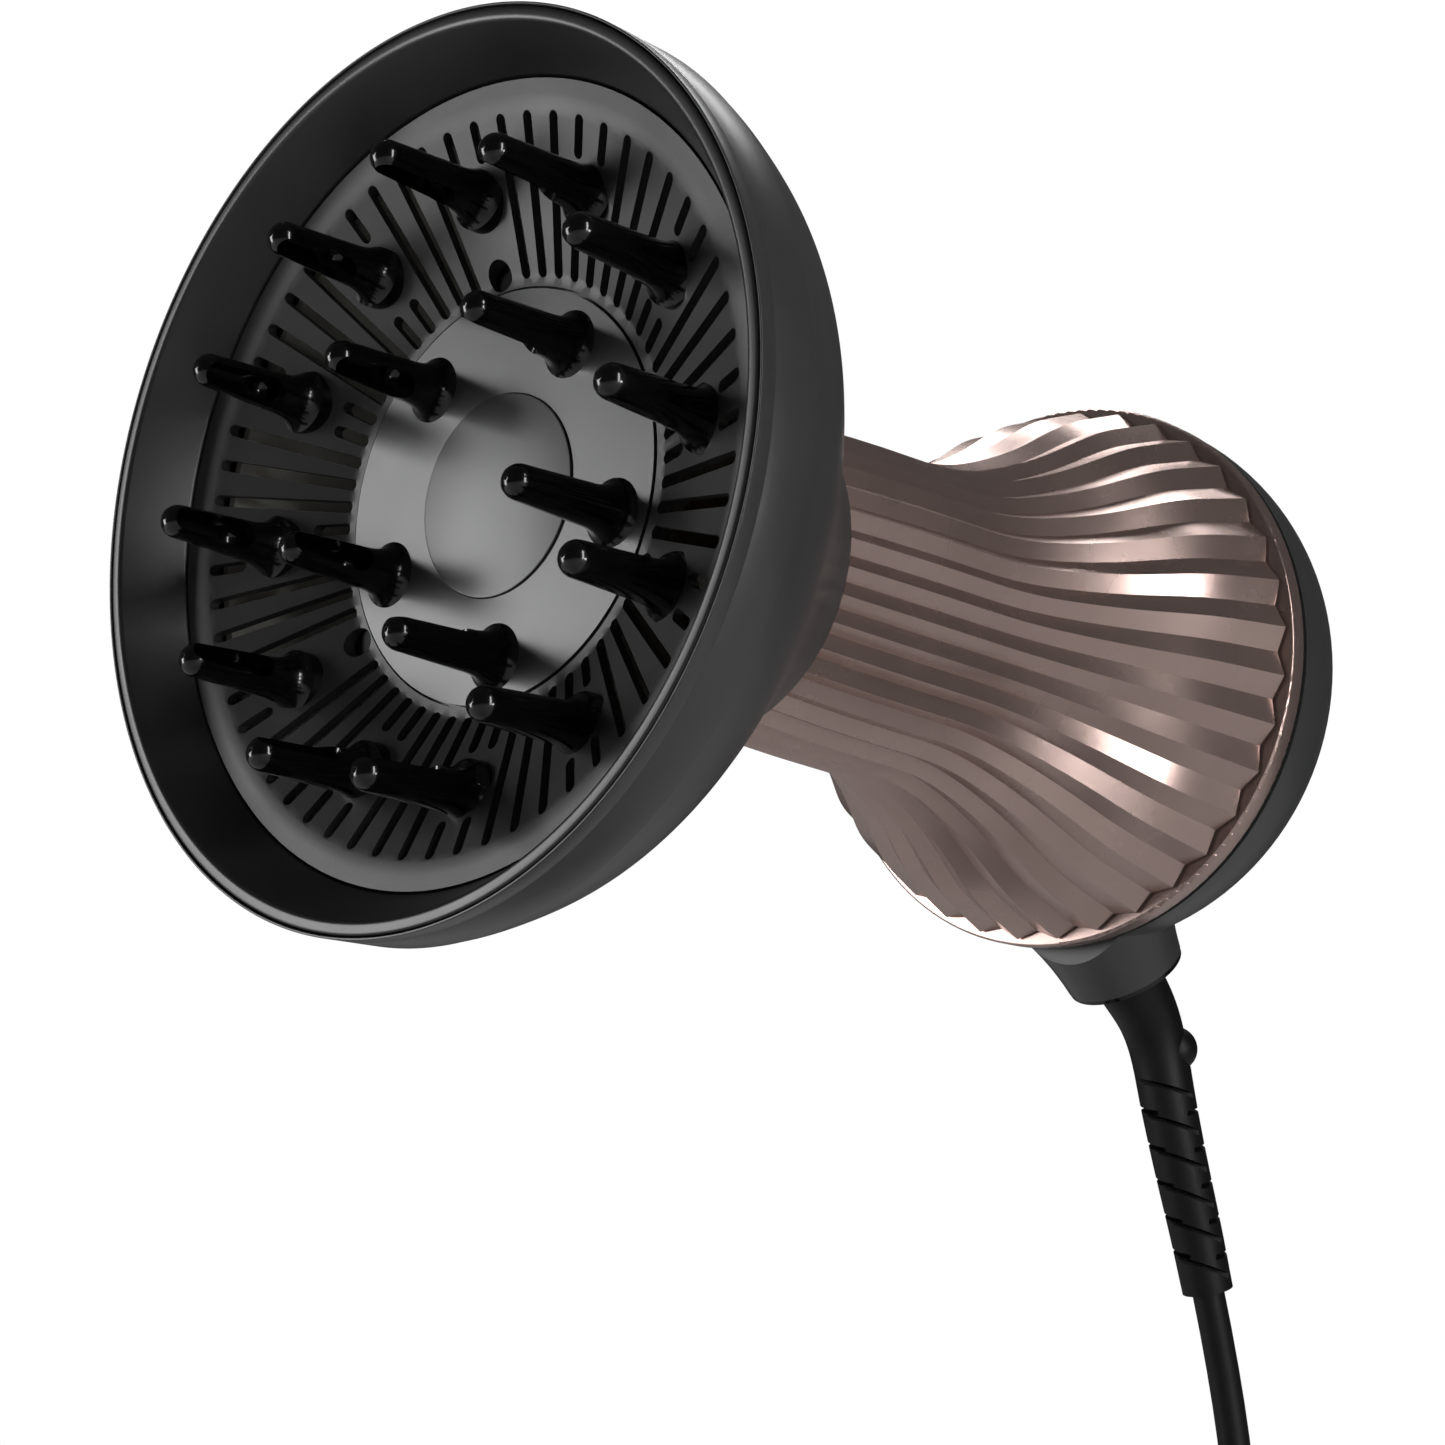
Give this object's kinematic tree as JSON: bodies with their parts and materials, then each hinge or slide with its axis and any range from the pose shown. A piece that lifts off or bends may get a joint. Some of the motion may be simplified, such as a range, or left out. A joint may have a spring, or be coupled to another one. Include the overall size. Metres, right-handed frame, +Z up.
{
  "type": "diffuser hair dryer",
  "caption": "Hand-held hair dryer with a wide slotted diffuser bowl, hollow fingers, a pleated waisted grip, a domed filter cap and a mains lead.",
  "frame": {"origin": "on the dryer's axis in the middle of the grip, 105 mm behind the plane of the bowl's rim", "axes": "+Y along the axis from the bowl to the filter cap, against the air flow; +Z up, away from the mains lead; +X to the right when looking along +Y"},
  "size_m": [0.162, 0.2698, 0.331],
  "materials": {
    "satin_grey_housing": "satin",
    "dark_bowl": "satin",
    "gloss_black": "gloss",
    "rose_gold": "satin metallic lacquer",
    "soft_black": "matte",
    "hook_and_loop": "woven",
    "steel": "plain",
    "nickel_brass": "nickel plated",
    "motor_can": "plated",
    "white_nylon": "moulded",
    "mica": "layered",
    "heater_wire": "oxidised",
    "circuit_board": "lacquered",
    "components": "moulded",
    "lead_insulation": "extruded"
  },
  "bodies": {
    "dryer": {"head_shell": "satin_grey_housing", "rear_ring": "satin_grey_housing", "control_panel": "satin_grey_housing", "bowl_liner": "dark_bowl", "slot_plate": "dark_bowl", "centre_dish": "dark_bowl", "centre_disc": "dark_bowl", "outer_fingers": "gloss_black", "inner_fingers": "gloss_black", "collar_cap": "gloss_black", "pleated_body": "rose_gold", "accent_ring": "rose_gold", "strain_relief": "soft_black", "cord": "soft_black", "cord_coil": "soft_black", "cord_tail": "soft_black", "gasket_ring": "soft_black", "plug_body": "soft_black", "coil_tie": "hook_and_loop", "plate_screws": "steel", "housing_screws": "steel", "motor_screws": "steel", "plug_pins": "nickel_brass", "motor": "motor_can", "fan_housing": "white_nylon", "air_guide": "white_nylon", "mica_frame": "mica", "heater_sleeve": "mica", "heater_coils": "heater_wire", "switch_board": "circuit_board", "control_board": "circuit_board", "thermostat": "components", "thermal_fuse": "components", "slide_switch": "components", "push_switch": "components", "board_parts": "components", "supply_leads": "lead_insulation"},
    "rotor": {"motor_shaft": "steel", "impeller": "white_nylon"},
    "slider": {"speed_slider": "gloss_black"},
    "button": {"cool_shot_button": "gloss_black"},
    "cap": {"inlet_cap": "satin_grey_housing", "filter_mesh": "steel"}
  },
  "joints": [
    {"name": "fan_spin", "type": "hinge", "parent": "dryer", "child": "rotor", "pos_m": [0, 0.091, 0], "axis": [0, 1, 0], "continuous": true},
    {"name": "speed_slide", "type": "slide", "parent": "dryer", "child": "slider", "axis": [0, 0.9982, 0.0605], "range_m": [0, 0.008]},
    {"name": "cool_shot_press", "type": "slide", "parent": "dryer", "child": "button", "axis": [0, 0.0605, -0.9982], "range_m": [0, 0.0015], "stiffness_N_per_m": 1200, "springref_m": -0.0006},
    {"name": "cap_pull", "type": "slide", "parent": "dryer", "child": "cap", "axis": [0, 1, 0], "range_m": [0, 0.02]}
  ]
}
